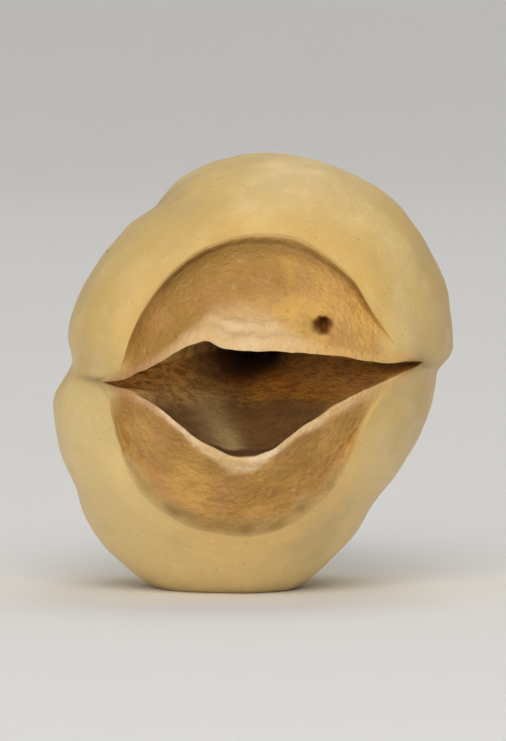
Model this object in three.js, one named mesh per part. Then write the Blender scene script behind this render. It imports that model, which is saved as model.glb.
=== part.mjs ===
// One peeled and cored lotus seed, lying on the back of its lower cotyledon.
// Millimetres, +Z up. The long axis lies along Y, with the open tip toward -Y and the drilled base toward +Y.
// The surface is one closed skin: out over the crater and flanks, in through the bore, back up the cavity.
import * as THREE from 'three';
import { ParametricGeometry } from 'three/addons/geometries/ParametricGeometry.js';
import { mergeVertices } from 'three/addons/utils/BufferGeometryUtils.js';

// Body: half sizes of the widest section, and how far the two ends reach from it.
const HALF_WIDTH = 5.62;
const HEIGHT_ABOVE = 6.25; // of the upper cotyledon over the seam
const DEPTH_BELOW = 6.94; // of the lower one under it, before the resting spot is taken off
const TIP_REACH = 6.6;
const BASE_REACH = 7.5;
const BASE_BLUNTNESS = 0.86; // 1 is an ellipsoid's end, less is blunter
const FLAT_DEPTH = 0.6; // how much of the lowest point the resting spot takes off
// Fullness of the section between the axes: 2 is an ellipse, less is leaner, more is squarer.
const BODY_FULLNESS = { upperRight: 2.35, upperLeft: 2.1, lowerLeft: 2.1, lowerRight: 1.6 };

// The two cotyledons have dried a little out of line: the upper one has slipped to +X.
const SLIP = 0.42;
const SLIP_CENTRE = -0.05;
const SLIP_BLEND = 0.4; // height over which the slip changes at the seam

// Crater: the sunken ring of brown skin around the mouth.
const CRATER_HALF_WIDTH = 3.75;
const CRATER_HALF_HEIGHT = 4.38;
const CRATER_CENTRE_Z = -0.18;
const CRATER_FULLNESS = { upperRight: 2.0, upperLeft: 2.1, lowerLeft: 2.4, lowerRight: 1.8 };
const CRATER_DEPTH_ABOVE = 0.56;
const CRATER_DEPTH_BELOW = 0.28;
// Share of the way from lip to rim that the wall under the rim takes: steep above the mouth, gentle below it.
const CRATER_WALL_ABOVE = 0.12;
const CRATER_WALL_BELOW = 0.42;
const RIM_SWELL = 0.1;
const RIM_WIDTH = 0.5;

// Mouth: its edge as (x, z) points, from the right corner over the upper lip to the left corner and back.
const UPPER_LIP = [
  [4.93, 0.38], [4.5, 0.45], [3.85, 0.42], [2.72, 0.62], [1.15, 0.82], [-0.6, 0.88],
  [-1.44, 1.1], [-2.25, 0.74], [-3.1, 0.24], [-3.7, -0.03], [-4.3, -0.15],
];
const LOWER_LIP = [
  [-4.3, -0.15], [-3.88, -0.25], [-3.47, -0.36], [-2.57, -0.88], [-1.55, -1.68], [-0.4, -2.2],
  [0.5, -2.0], [1.5, -1.28], [2.72, -0.56], [4.0, -0.02], [4.6, 0.2], [4.93, 0.38],
];
const LIP_CREST = 0.16;
const LIP_WIDTH = 0.4;
const CRACK_BORDER = 0.14; // share of the way to the outline that the crater's rings take beside a crack

// Cavity behind the mouth, as (half width, place along the axis, half height) from the bore to the mouth.
const CAVITY = [
  [0.56, -5.3, 0.56], [0.66, -3.4, 0.62], [0.82, -1.2, 0.7], [1.15, 1.0, 0.8],
  [1.9, 2.7, 1.0], [3.0, 4.2, 1.32], [4.2, 5.6, 1.6],
];
// The line of its middle as (x, z) points, which rises from the mouth to the bore.
const CAVITY_AXIS = [
  [0.3, 0.95], [0.2, 0.85], [0.0, 0.75], [-0.2, 0.62], [-0.3, 0.45], [-0.2, 0.2], [0.0, 0.0],
];
const CAVITY_LENS = 0.5; // how much sharper the cavity's corners are at the mouth
const MOUTH_BLEND = 0.3; // share of the cavity that turns into the mouth's own outline

// Bore: the small three-cornered hole that the germ was pushed out of, a little off the axis.
const BORE_AT = new THREE.Vector2(0.3, 0.95);
const BORE_RADIUS = 0.6;
const BORE_CORNERS = 3;
const BORE_CORNER_SHARE = 0.13;
const DIMPLE_DEPTH = 0.35;
const DIMPLE_RADIUS = 1.1;

// Skin: the groove along the seam, creases along the backs, folds round the bore, low swellings and flats.
const SEAM_LEFT = { depth: 0.36, width: 0.6 };
const SEAM_RIGHT = { depth: 0.2, width: 0.36 };
const SEAM_FULL_FROM = 1.0; // place along the axis where the groove is whole
const SEAM_ENDS_AT = -5.2;
const CREASES = [
  // angle round the axis, depth, width in radians, twist per mm, middle and half length along the axis
  { angle: 1.1, depth: 0.11, width: 0.11, twist: 0.03, middle: -3.2, reach: 3.2 },
  { angle: 2.1, depth: 0.16, width: 0.12, twist: -0.04, middle: -1.6, reach: 3.8 },
  { angle: 2.65, depth: 0.1, width: 0.1, twist: 0.02, middle: -4.2, reach: 2.4 },
  { angle: 3.75, depth: 0.15, width: 0.12, twist: 0.03, middle: -2.6, reach: 3.6 },
  { angle: 5.5, depth: 0.15, width: 0.12, twist: -0.02, middle: -2.0, reach: 4.0 },
  { angle: 6.0, depth: 0.1, width: 0.1, twist: 0.04, middle: -4.4, reach: 2.2 },
];
const FOLDS = 7;
const FOLD_DEPTH = 0.08;
const FOLD_RADIUS = 1.8;
const FOLD_WIDTH = 0.9;
const SWELLING = 0.08;
const FLATS = [
  { angle: 0.7, depth: 0.3, width: 0.5, middle: -2.6, reach: 2.6 },
  { angle: 2.22, depth: 0.46, width: 0.42, middle: 0.8, reach: 5.0 },
];

// Grid: columns round the seed, closer together at the seams, and rings along each stretch of the skin.
const COLUMNS = 80;
const SEAM_CLUSTER = 0.5;
const CRATER_RINGS = 10;
const SHOULDER_RINGS = 12;
const BACK_RINGS = 16;
const BORE_RINGS = 3;
const CAVITY_RINGS = 13;

const { lerp, smoothstep } = THREE.MathUtils;
const bump = (distance, width) => Math.exp(-((distance / width) ** 2));
const signedPower = (value, power) => Math.sign(value) * Math.abs(value) ** power;
const angleApart = (a, b) => Math.atan2(Math.sin(a - b), Math.cos(a - b));

const upperLip = new THREE.SplineCurve(UPPER_LIP.map(([x, z]) => new THREE.Vector2(x, z)));
const lowerLip = new THREE.SplineCurve(LOWER_LIP.map(([x, z]) => new THREE.Vector2(x, z)));
const cavityLine = new THREE.CatmullRomCurve3(CAVITY.map(([x, t, z]) => new THREE.Vector3(x, t, z)));
const cavityAxis = new THREE.SplineCurve(CAVITY_AXIS.map(([x, z]) => new THREE.Vector2(x, z)));

// Plan points are Vector2(x, z), seen from the tip, before the slip. A place t on the axis is + at the tip.
const slipAt = (z) => SLIP_CENTRE + 0.5 * SLIP * Math.tanh(z / SLIP_BLEND);

function placed(point) {
  const slip = slipAt(point.z) * smoothstep(point.y, -BASE_REACH, 0);
  return new THREE.Vector3(point.x + slip, -point.y, point.z);
}

function quarterOf(fullness, x, z) {
  if (z > 0) return x > 0 ? fullness.upperRight : fullness.upperLeft;
  return x > 0 ? fullness.lowerRight : fullness.lowerLeft;
}

const bodyHeight = (z) => (z > 0 ? HEIGHT_ABOVE : DEPTH_BELOW);

function ovalPoint(angle, halfWidth, halfHeight, fullness) {
  const power = 2 / quarterOf(fullness, Math.cos(angle), Math.sin(angle));
  return new THREE.Vector2(
    halfWidth * signedPower(Math.cos(angle), power),
    halfHeight * signedPower(Math.sin(angle), power),
  );
}

// 0 at the oval's centre, 1 on its edge.
function ovalShare(plan, halfWidth, halfHeight, fullness) {
  const power = quarterOf(fullness, plan.x, plan.y);
  const across = Math.abs(plan.x / halfWidth) ** power;
  const upright = Math.abs(plan.y / halfHeight) ** power;
  return (across + upright) ** (1 / power);
}

const outlinePoint = (angle) => ovalPoint(angle, HALF_WIDTH, bodyHeight(Math.sin(angle)), BODY_FULLNESS);
const outlineShare = (plan) => ovalShare(plan, HALF_WIDTH, bodyHeight(plan.y), BODY_FULLNESS);

// The mouth's edge, with the slip taken out so that it fits the body before the slip.
function lipPoint(angle) {
  const turn = angle / Math.PI;
  const point = turn <= 1 ? upperLip.getPoint(turn) : lowerLip.getPoint(turn - 1);
  point.x -= slipAt(point.y);
  return point;
}

// The plan points that a column passes. wholeness is 1 where the rim is whole and 0 where a crack splits it.
function columnAt(angle) {
  const lip = lipPoint(angle);
  const outline = outlinePoint(angle);
  const rim = ovalPoint(angle, CRATER_HALF_WIDTH, CRATER_HALF_HEIGHT, CRATER_FULLNESS);
  rim.y += CRATER_CENTRE_Z;
  const lipInCrater = new THREE.Vector2(lip.x, lip.y - CRATER_CENTRE_Z);
  const share = ovalShare(lipInCrater, CRATER_HALF_WIDTH, CRATER_HALF_HEIGHT, CRATER_FULLNESS);
  const wholeness = 1 - smoothstep(share, 0.92, 1.05);
  rim.lerp(lip.clone().lerp(outline, CRACK_BORDER), 1 - wholeness);
  return { lip, rim, outline, wholeness };
}

const domeHeight = (plan) => TIP_REACH * Math.sqrt(Math.max(0, 1 - outlineShare(plan) ** 2));

function creaseDepth(angle, t) {
  let depth = 0;
  for (const crease of CREASES) {
    const aside = angleApart(angle, crease.angle + crease.twist * t);
    depth += crease.depth * bump(aside, crease.width) * bump(t - crease.middle, crease.reach);
  }
  return depth;
}

// The groove follows the seam from the corner of the mouth, which lies off the middle, to the base.
function seamGroove(plan, t) {
  const corner = plan.x > 0 ? UPPER_LIP[0] : LOWER_LIP[0];
  const { depth, width } = plan.x > 0 ? SEAM_RIGHT : SEAM_LEFT;
  const seamZ = corner[1] * smoothstep(t, 0, 4);
  return depth * bump(plan.y - seamZ, width) * smoothstep(t, SEAM_ENDS_AT, SEAM_FULL_FROM);
}

// How far the skin stands out from the plain body.
function relief(plan, t) {
  const angle = Math.atan2(plan.y, plan.x);
  const flat = FLATS.reduce((sum, { angle: at, depth, width, middle, reach }) => (
    sum + depth * bump(angleApart(angle, at), width) * bump(t - middle, reach)
  ), 0);
  const ripple = Math.cos(FOLDS * angle) + 0.5 * Math.cos((FOLDS - 2) * angle + 1.2);
  const fold = t < 0 ? FOLD_DEPTH * ripple * bump(plan.distanceTo(BORE_AT) - FOLD_RADIUS, FOLD_WIDTH) : 0;
  const swelling = SWELLING * (Math.sin(2 * angle + 0.4 * t) + 0.6 * Math.sin(3 * angle - 0.5 * t + 1));
  return swelling + fold - seamGroove(plan, t) - flat - creaseDepth(angle, t);
}

// A point of the outer skin, raised by its share of the relief.
function skinPoint(plan, t, share) {
  const reach = t > 0 ? TIP_REACH : BASE_REACH;
  const point = new THREE.Vector3(plan.x, t, plan.y);
  const upright = plan.y / bodyHeight(plan.y) ** 2;
  const normal = new THREE.Vector3(plan.x / HALF_WIDTH ** 2, t / reach ** 2, upright).normalize();
  return placed(point.addScaledVector(normal, share * relief(plan, t)));
}

// From the lip out to the rim.
function craterPoint(angle, share) {
  const { lip, rim, wholeness } = columnAt(angle);
  const out = 0.5 - 0.5 * Math.cos(Math.PI * share);
  const plan = lip.clone().lerp(rim, out);
  const upward = 0.5 + 0.5 * Math.sin(angle);
  const depth = lerp(CRATER_DEPTH_BELOW, CRATER_DEPTH_ABOVE, upward);
  const wall = 1 - lerp(CRATER_WALL_BELOW, CRATER_WALL_ABOVE, upward);
  const sunk = Math.min(out / wall, 1) * (1 - smoothstep(out, wall, 1));
  const crest = LIP_CREST * bump(plan.distanceTo(lip) - 0.2, LIP_WIDTH);
  return skinPoint(plan, domeHeight(plan) - wholeness * depth * sunk + crest, out ** 4);
}

// From the rim down to the widest section.
function shoulderPoint(angle, share) {
  const { lip, rim, outline, wholeness } = columnAt(angle);
  const start = Math.asin(Math.min(0.98, outlineShare(rim)));
  const turn = Math.sin(lerp(start, Math.PI / 2, share));
  const plan = rim.clone().lerp(outline, (turn - Math.sin(start)) / (1 - Math.sin(start)));
  const fromRim = plan.distanceTo(rim);
  const swell = RIM_SWELL * wholeness * smoothstep(share, 0, 0.15) * bump(fromRim - 0.4, RIM_WIDTH);
  const crest = LIP_CREST * bump(plan.distanceTo(lip) - 0.2, LIP_WIDTH);
  return skinPoint(plan, domeHeight(plan) + swell + crest, 1);
}

// From the widest section to the edge of the bore.
function backPoint(angle, share) {
  const turn = share * Math.PI / 2;
  const boreRadius = BORE_RADIUS * (1 + BORE_CORNER_SHARE * Math.cos(BORE_CORNERS * (angle - Math.PI / 2)));
  const hole = new THREE.Vector2(boreRadius * Math.cos(angle), boreRadius * Math.sin(angle));
  const plan = hole.add(BORE_AT).lerp(outlinePoint(angle), Math.cos(turn) ** BASE_BLUNTNESS);
  const dimple = DIMPLE_DEPTH * bump(plan.distanceTo(BORE_AT), DIMPLE_RADIUS);
  return skinPoint(plan, dimple - BASE_REACH * Math.sin(turn), 1);
}

// From the edge of the bore in to the bottom of the cavity.
const borePoint = (angle, share) => backPoint(angle, 1).lerp(cavityPoint(angle, 0), share);

// From the bottom of the cavity up to the lip.
function cavityPoint(angle, share) {
  const section = cavityLine.getPoint(share);
  const lip = lipPoint(angle);
  const bottom = CAVITY[0][1];
  const top = CAVITY[CAVITY.length - 1][1];
  const lipHeight = domeHeight(lip) + LIP_CREST * bump(0.2, LIP_WIDTH);
  const plan = new THREE.Vector2(
    section.x * Math.cos(angle),
    section.z * signedPower(Math.sin(angle), 1 + CAVITY_LENS * share),
  );
  plan.add(cavityAxis.getPoint(share));
  plan.lerp(lip, smoothstep(share, 1 - MOUTH_BLEND, 1));
  const t = lerp(bottom, lipHeight, (section.y - bottom) / (top - bottom));
  return placed(new THREE.Vector3(plan.x, t, plan.y));
}

const STRETCHES = [
  { rings: CRATER_RINGS, point: craterPoint },
  { rings: SHOULDER_RINGS, point: shoulderPoint },
  { rings: BACK_RINGS, point: backPoint },
  { rings: BORE_RINGS, point: borePoint },
  { rings: CAVITY_RINGS, point: cavityPoint },
];
const RINGS = STRETCHES.reduce((sum, stretch) => sum + stretch.rings, 0);

// around goes 0 to 1 round the seed, and along goes 0 to 1 through the stretches in turn.
function seedSurface(around, along, target) {
  const even = 2 * Math.PI * ((1 - around) % 1);
  const angle = even - 0.5 * SEAM_CLUSTER * Math.sin(2 * even);
  let ring = (along % 1) * RINGS;
  let index = 0;
  while (index < STRETCHES.length - 1 && ring >= STRETCHES[index].rings - 1e-6) {
    ring -= STRETCHES[index].rings;
    index += 1;
  }
  target.copy(STRETCHES[index].point(angle, Math.max(0, ring) / STRETCHES[index].rings));
}

function makeSeed() {
  const surface = new ParametricGeometry(seedSurface, COLUMNS, RINGS);
  surface.deleteAttribute('normal');
  surface.deleteAttribute('uv');
  const geometry = mergeVertices(surface, 1e-4);
  const position = geometry.getAttribute('position');
  geometry.computeBoundingBox();
  const floor = geometry.boundingBox.min.z + FLAT_DEPTH;
  for (let i = 0; i < position.count; i += 1) {
    position.setZ(i, Math.max(floor, position.getZ(i)));
  }
  const centre = geometry.boundingBox.getCenter(new THREE.Vector3());
  geometry.translate(-centre.x, -centre.y, -floor);
  geometry.computeVertexNormals();
  const flesh = new THREE.MeshStandardMaterial({ color: 0xdcc494, roughness: 0.55, metalness: 0 });
  const seed = new THREE.Mesh(geometry, flesh);
  seed.name = 'lotus_seed';
  return seed;
}

const part = new THREE.Group();
part.add(makeSeed());

export default part;
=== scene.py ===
import math
from collections import namedtuple

import bmesh
import bpy
from bpy.props import FloatProperty, FloatVectorProperty, IntProperty, PointerProperty
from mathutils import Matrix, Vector, noise


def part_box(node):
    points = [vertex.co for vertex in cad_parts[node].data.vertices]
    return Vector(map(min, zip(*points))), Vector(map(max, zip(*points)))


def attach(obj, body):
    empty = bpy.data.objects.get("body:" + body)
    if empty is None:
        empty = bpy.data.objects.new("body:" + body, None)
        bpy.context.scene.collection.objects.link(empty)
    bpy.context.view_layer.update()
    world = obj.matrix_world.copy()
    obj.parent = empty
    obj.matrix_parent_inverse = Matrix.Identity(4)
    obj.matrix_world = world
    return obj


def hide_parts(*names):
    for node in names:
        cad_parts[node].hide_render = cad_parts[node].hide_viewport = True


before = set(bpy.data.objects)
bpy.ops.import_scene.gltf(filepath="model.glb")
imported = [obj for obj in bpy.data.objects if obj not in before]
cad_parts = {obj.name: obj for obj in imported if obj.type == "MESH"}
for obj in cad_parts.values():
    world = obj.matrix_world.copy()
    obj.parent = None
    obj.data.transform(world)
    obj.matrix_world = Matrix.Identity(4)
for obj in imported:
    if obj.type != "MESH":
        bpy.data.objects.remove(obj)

bl_info = {
    "name": "Lotus seed",
    "version": (1, 0, 0),
    "blender": (4, 5, 0),
    "location": "3D View > Sidebar > Lotus seed",
    "description": "Models one peeled and cored lotus seed and the stage that it lies on",
    "category": "Object",
}

# A noise for the material, with lumps of that size in millimetres. The offset picks another part of it.
Lumps = namedtuple("Lumps", "size detail roughness stretch offset", defaults=(3.0, 0.5, (1, 1, 1), (0, 0, 0)))
# Patches of a colour: they start where the noise passes the first level and are full at the second.
Patches = namedtuple("Patches", "lumps start full strength")

# The seed is worked out in millimetres, in the part's own axes: +Z up, the open tip toward -Y.
# A plan point is an (x, z) point as seen from the tip, and t is the place along the axis, + toward the tip.
MM = 0.001
NODE = "lotus_seed"
CAD_LOW, CAD_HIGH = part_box(NODE)
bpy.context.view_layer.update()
# How high the seed's long axis lies over the floor.
AXIS_HEIGHT = 6.3

# Fullness of an oval between its axes: 2 is an ellipse, less is leaner, more is squarer.
BODY_FULLNESS = {"upper_right": 2.35, "upper_left": 2.1, "lower_left": 2.1, "lower_right": 1.6}
CRATER_FULLNESS = {"upper_right": 2.0, "upper_left": 2.1, "lower_left": 2.4, "lower_right": 1.8}
BASE_BLUNTNESS = 0.86
# Sideways shift at the seam, and the height over which the upper seed leaf's slip comes in.
SLIP_CENTRE = -0.05
SLIP_BLEND = 0.4

CRATER_CENTRE_Z = -0.18
# Share of the way from lip to rim that the wall under the rim takes: steep above the mouth, gentle below it.
CRATER_WALL_ABOVE = 0.12
CRATER_WALL_BELOW = 0.42
# The rim fades out toward the mouth's corners, where the lip lies between these shares of the crater's size.
RIM_FADES = (0.92, 1.05)
RIM_SWELL = 0.1
RIM_SWELL_AT = 0.4
RIM_WIDTH = 0.5

# The upper lip as (x, z) points, from the mouth's right corner to its left one.
UPPER_LIP = [Vector(p) for p in (
    (4.93, 0.38), (4.5, 0.45), (3.85, 0.42), (2.72, 0.62), (1.15, 0.82), (-0.6, 0.88),
    (-1.44, 1.1), (-2.25, 0.74), (-3.1, 0.24), (-3.7, -0.03), (-4.3, -0.15),
)]
# The lower lip, from the left corner back to the right one.
LOWER_LIP = [Vector(p) for p in (
    (-4.3, -0.15), (-3.88, -0.25), (-3.47, -0.36), (-2.57, -0.88), (-1.55, -1.68), (-0.4, -2.2),
    (0.5, -2.0), (1.5, -1.28), (2.72, -0.56), (4.0, -0.02), (4.6, 0.2), (4.93, 0.38),
)]
LIP_CREST = 0.16
LIP_CREST_AT = 0.2
LIP_WIDTH = 0.4
LIP_RAGGEDNESS = 0.05
CRACK_BORDER = 0.14

# The cavity as (half width, place along the axis, half height), from the bore to the mouth.
CAVITY = [Vector(p) for p in (
    (0.56, -5.3, 0.56), (0.66, -3.4, 0.62), (0.82, -1.2, 0.7), (1.15, 1.0, 0.8),
    (1.9, 2.7, 1.0), (3.0, 4.2, 1.32), (4.2, 5.6, 1.6),
)]
# The line of the cavity's middle as (x, z) points, from the bore to the mouth.
CAVITY_AXIS = [Vector(p) for p in (
    (0.3, 0.95), (0.2, 0.85), (0.0, 0.75), (-0.2, 0.62), (-0.3, 0.45), (-0.2, 0.2), (0.0, 0.0),
)]
CAVITY_LENS = 0.5
CAVITY_ROUGHNESS = 0.07
CAVITY_FOLDS = 9
CAVITY_FOLD_DEPTH = 0.06
MOUTH_BLEND = 0.3

BORE_AT = Vector((0.3, 0.95))
BORE_CORNERS = 3
BORE_CORNER_SHARE = 0.13
DIMPLE_DEPTH = 0.35
DIMPLE_RADIUS = 1.1

# Depth and width of the groove between the seed leaves.
SEAM_LEFT = (0.36, 0.6)
SEAM_RIGHT = (0.2, 0.36)
SEAM_FULL_FROM = 1.0
SEAM_ENDS_AT = -5.2
# The places along the axis between which the seam bends to the mouth's corner.
SEAM_BEND = (0, 4)
CREASES = (
    # angle round the axis, depth, width in radians, twist per mm, middle and half length along the axis
    (1.1, 0.11, 0.11, 0.03, -3.2, 3.2),
    (2.1, 0.16, 0.12, -0.04, -1.6, 3.8),
    (2.65, 0.1, 0.1, 0.02, -4.2, 2.4),
    (3.75, 0.15, 0.12, 0.03, -2.6, 3.6),
    (5.5, 0.15, 0.12, -0.02, -2.0, 4.0),
    (6.0, 0.1, 0.1, 0.04, -4.4, 2.2),
)
FOLDS = 7
FOLD_DEPTH = 0.08
FOLD_RADIUS = 1.8
FOLD_WIDTH = 0.9
SWELLING = 0.08
FLATS = (
    # angle round the axis, depth, width in radians, middle and half length along the axis
    (0.7, 0.3, 0.5, -2.6, 2.6),
    (2.22, 0.46, 0.42, 0.8, 5.0),
)

# Finer relief, which only this model has.
PIT_AT = Vector((1.85, 1.55))
PIT_RADIUS = 0.25
PIT_DEPTH = 0.55
CRACK_DEPTH = 0.1
CRACK_WIDTH = 0.1
# The places along the axis between which the crack deepens.
CRACK_REACH = (1.4, 4.2)
TORN_FOLD_X = -0.35
TORN_FOLD_REACH = 1.3
TORN_FOLD_HEIGHT = 0.13
TORN_FOLD_AT = 0.72
TORN_FOLD_WIDTH = 0.2
GRAIN_HEIGHT = 0.04
LUMP_HEIGHT = 0.07
STRIA_HEIGHT = 0.022
DENT_HEIGHT = 0.03
CRATER_COARSE = 0.06
CRATER_FINE = 0.03

# Where the marks lie. Each row of a table is a soft bump along the lip: its x, its spread and its height.
LOWER_LIP_BAND = ((-0.2, 0.8, 0.32), (2.9, 1.1, 0.28))
# The pale shreds of the lips lie where their edges catch the light, so they are partly painted highlights.
LOWER_LIP_HIGHLIGHTS = ((-2.0, 0.8, 1.0), (0.1, 0.9, 1.2), (2.5, 1.5, 0.4))
UPPER_LIP_HIGHLIGHT = 0.4
UPPER_BAND_WIDTH = 0.26
LOWER_BAND_WIDTH = 0.2
MOUTH_END_WIDTH = 0.12
HALO_WIDTH = 0.9
# How much painted shade the seam, a crease and a fold get for their depth, and then how much painted shade
# the bore's edge and the lines of shadow beside the fold behind the torn lip get.
SEAM_DARKNESS = 0.15
CREASE_DARKNESS = 3.5
FOLD_DARKNESS = 0.5
BORE_EDGE_DARKNESS = 0.8
TORN_LINE_DARKNESS = 0.5
# The brown spot beside the pit: its place from the pit, its spread and how dark it is.
PIT_SPOT_FROM = Vector((-0.5, 0.04))
PIT_SPOT_SPREAD = 0.32
PIT_SPOT_DARKNESS = 0.45
# A greyish streak of painted light on the cavity's lower wall: a point on it, the direction across it and
# its width.
LIT_STREAK_AT = Vector((-1.05, -0.7))
LIT_STREAK_ACROSS = Vector((0.89, 0.45))
LIT_STREAK_WIDTH = 0.38
HOLLOW_DEPTH = 6.0

# Hairline splits that run along the flanks, too fine for the mesh.
SPLITS = (
    # angle round the axis, from and to along the part's Y
    (2.45, -1.5, 3.6),
    (0.45, 0.8, 4.6),
    (4.35, 1.2, 5.2),
)
SPLIT_WIDTH = 0.035
SPLIT_WAVER = 0.5
SPLIT_FADE = 1.0
SPLIT_BENDS = Lumps(1.3, detail=4)

# How the rings are shared among the stretches of the skin, in order.
STRETCHES = (("crater", 0.24), ("shoulder", 0.2), ("back", 0.24), ("bore", 0.05), ("cavity", 0.27))
# How much closer the columns stand toward the seam: 0 is evenly.
SEAM_CLUSTER = 0.5
# The marks that the mesh bears at each of its points, for the material; several of them are painted shade,
# painted light or painted highlights.
MASKS = (
    "crater", "rim", "lip", "pale", "hollow", "floor", "lip_shade", "lit_streak", "groove", "halo", "pit", "crack",
)

# The noise and the patches of the material.
FLESH_LUMPS = Lumps(2.6, detail=4, offset=(3, 1, 2))
SKIN_LUMPS = Lumps(1.2, detail=4)
SHEEN_LUMPS = Lumps(0.7)
GRAIN = Lumps(0.16)
RIPPLE = Lumps(0.55, stretch=(1, 0.25, 1))
PORES = Lumps(0.07, detail=2)
FLOOR_MOTTLE = Patches(Lumps(60, detail=1), 0.3, 0.7, 1.0)
OLIVE_PATCHES = Patches(Lumps(3.4, offset=(0.3, 7, 1)), 0.5, 0.68, 0.55)
OLIVE_STREAKS = Patches(Lumps(0.5, detail=2, stretch=(1, 0.12, 1)), 0.55, 0.75, 0.22)
BASE_STAINS = Patches(Lumps(1.5, detail=5, offset=(1, 1, 6)), 0.42, 0.6, 0.45)
CLOUDS = Patches(Lumps(0.9, detail=5, roughness=0.6, offset=(8, 2, 3)), 0.52, 0.68, 0.35)
FRECKLES = Patches(Lumps(0.13, detail=1, offset=(6, 0, 1)), 0.7, 0.78, 0.45)
PINK_PATCHES = Patches(Lumps(1.6, offset=(0, 4, 8)), 0.5, 0.66, 0.5)
DARK_SPECKS = Patches(Lumps(0.22, detail=2), 0.56, 0.72, 0.22)
PALE_FLECKS = Patches(Lumps(0.3, offset=(5, 5, 5)), 0.6, 0.75, 0.3)
CRUMBS = Patches(Lumps(0.34, detail=4, roughness=0.65, offset=(2, 0, 4)), 0.44, 0.6, 0.6)
SHREDS = Patches(Lumps(0.7, detail=2), 0.3, 0.7, 1.3)

# How strongly each mark colours what it lies on.
FLANK_SHADOW_STRENGTH = 0.5
HALO_STRENGTH = 0.55
SPLIT_STRENGTH = 0.85
LOWER_WALL_SHADE_STRENGTH = 0.93
LIT_STREAK_STRENGTH = 0.6
RIM_SHADOW_STRENGTH = 0.8
LIP_STRENGTH = 0.9
GROOVE_SHADE_STRENGTH = 0.6
CRACK_STRENGTH = 0.62

# Zones of the material: an axis of the part, and the places in millimetres where a zone starts and is full.
FRONT_TO_REAR = ("Y", 2.5, 6.5)
# The flesh gets paler low down, and more so low on the left, as painted light.
UNDERSIDE_LIGHT = ("Z", 6.5, 2.0)
LOW_LEFT_LIGHT = ("X", -0.8, -3.2)
# The right flank gets a painted shadow.
RIGHT_FLANK_SHADOW = ("X", 3.4, 5.6)
SKIN_RIGHTWARD = ("X", -3, 4)
TIP_RIGHTWARD = ("X", -3, 3)
TIP_UPWARD = ("Z", 3.3, 9.3)
CAVITY_RIGHTWARD = ("X", -1.2, 0.2)
LIP_PAST_LEFT_END = ("X", -3.4, -1.6)
LIP_TO_RIGHT_END = ("X", 0.8, 2.4)

# The seed's surface: waxy flesh, with a brown skin that is duller and grainier, and a cavity without sheen.
FLESH_ROUGHNESS = 0.36
ROUGHNESS_VARIES = 0.2
SKIN_ROUGHER = 0.22
SKIN_LESS_WAX = 0.6
WAX_SHEEN = 0.14
FLESH_GRAIN = 0.5
SKIN_GRAIN = 1.8
PORE_HEIGHT = 0.35
SPLIT_CUT = 1.2
BUMP_STRENGTH = 0.75
BUMP_DISTANCE = 0.06
SURFACE = {
    "Specular IOR Level": 0.4,
    "Coat Roughness": 0.35,
    "Subsurface Weight": 0.15,
    "Subsurface Radius": (1.0, 0.6, 0.3),
    "Subsurface Scale": 0.7 * MM,
}

# The lights: name, azimuth and elevation in degrees, size, share of the key light's power, and colour.
LIGHTS = (
    ("key", 0, 36, 0.3, 1.0, (1.0, 0.98, 0.95)),
    ("fill", -22, 2, 0.35, 0.62, (0.98, 0.99, 1.0)),
    ("back", 165, 55, 0.3, 0.35, (1.0, 0.98, 0.96)),
)
LIGHT_DISTANCE = 0.5
WORLD_COLOUR = (0.97, 0.98, 1.0)
FLOOR_PALER = 1.01
FLOOR_ROUGHNESS = 0.85
# The backdrop's flat middle and its bend, as shares of its radius.
BACKDROP_MIDDLE = 0.1
BACKDROP_BEND = 0.6
BACKDROP_STEPS = 24
BACKDROP_SIDES = 72


def mix(a, b, share):
    return a + (b - a) * share


def smooth(low, high, value):
    """0 at low and 1 at high, smoothly. Low may be the larger of the two."""
    share = min(1.0, max(0.0, (value - low) / (high - low)))
    return share * share * (3 - 2 * share)


def bump(distance, width):
    return math.exp(-((distance / width) ** 2))


def bumps(table, x):
    """The sum of the table's soft bumps at x, each given as its x, its spread and its height."""
    return sum(height * bump(x - at, spread) for at, spread, height in table)


def signed_power(value, power):
    return math.copysign(abs(value) ** power, value)


def angle_apart(a, b):
    return math.atan2(math.sin(a - b), math.cos(a - b))


def plan_noise(plan, scale, layer):
    """Noise over the plan, with about that many lumps to a millimetre. The layer picks another pattern."""
    return noise.noise(Vector((plan.x * scale, plan.y * scale, layer)))


def on_line(points, share):
    """A point on the smooth line through the points, from 0 at the first to 1 at the last."""
    place = share * (len(points) - 1)
    index = min(int(place), len(points) - 2)
    f = place - index
    before, start, end = points[max(index - 1, 0)], points[index], points[index + 1]
    after = points[min(index + 2, len(points) - 1)]
    leave, arrive = (end - before) / 2, (after - start) / 2
    cubic = (start - end) * 2 + leave + arrive
    square = (end - start) * 3 - leave * 2 - arrive
    return cubic * f ** 3 + square * f ** 2 + leave * f + start


def quarter(fullness, x, z):
    """The fullness of the oval's quarter that the point lies in."""
    return fullness[("upper" if z > 0 else "lower") + ("_right" if x > 0 else "_left")]


def oval_point(angle, half_width, half_height, fullness):
    power = 2 / quarter(fullness, math.cos(angle), math.sin(angle))
    return Vector((
        half_width * signed_power(math.cos(angle), power),
        half_height * signed_power(math.sin(angle), power),
    ))


def oval_share(plan, half_width, half_height, fullness):
    """0 at the oval's centre, 1 on its edge."""
    power = quarter(fullness, plan.x, plan.y)
    across = abs(plan.x / half_width) ** power
    upright = abs(plan.y / half_height) ** power
    return (across + upright) ** (1 / power)


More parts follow.
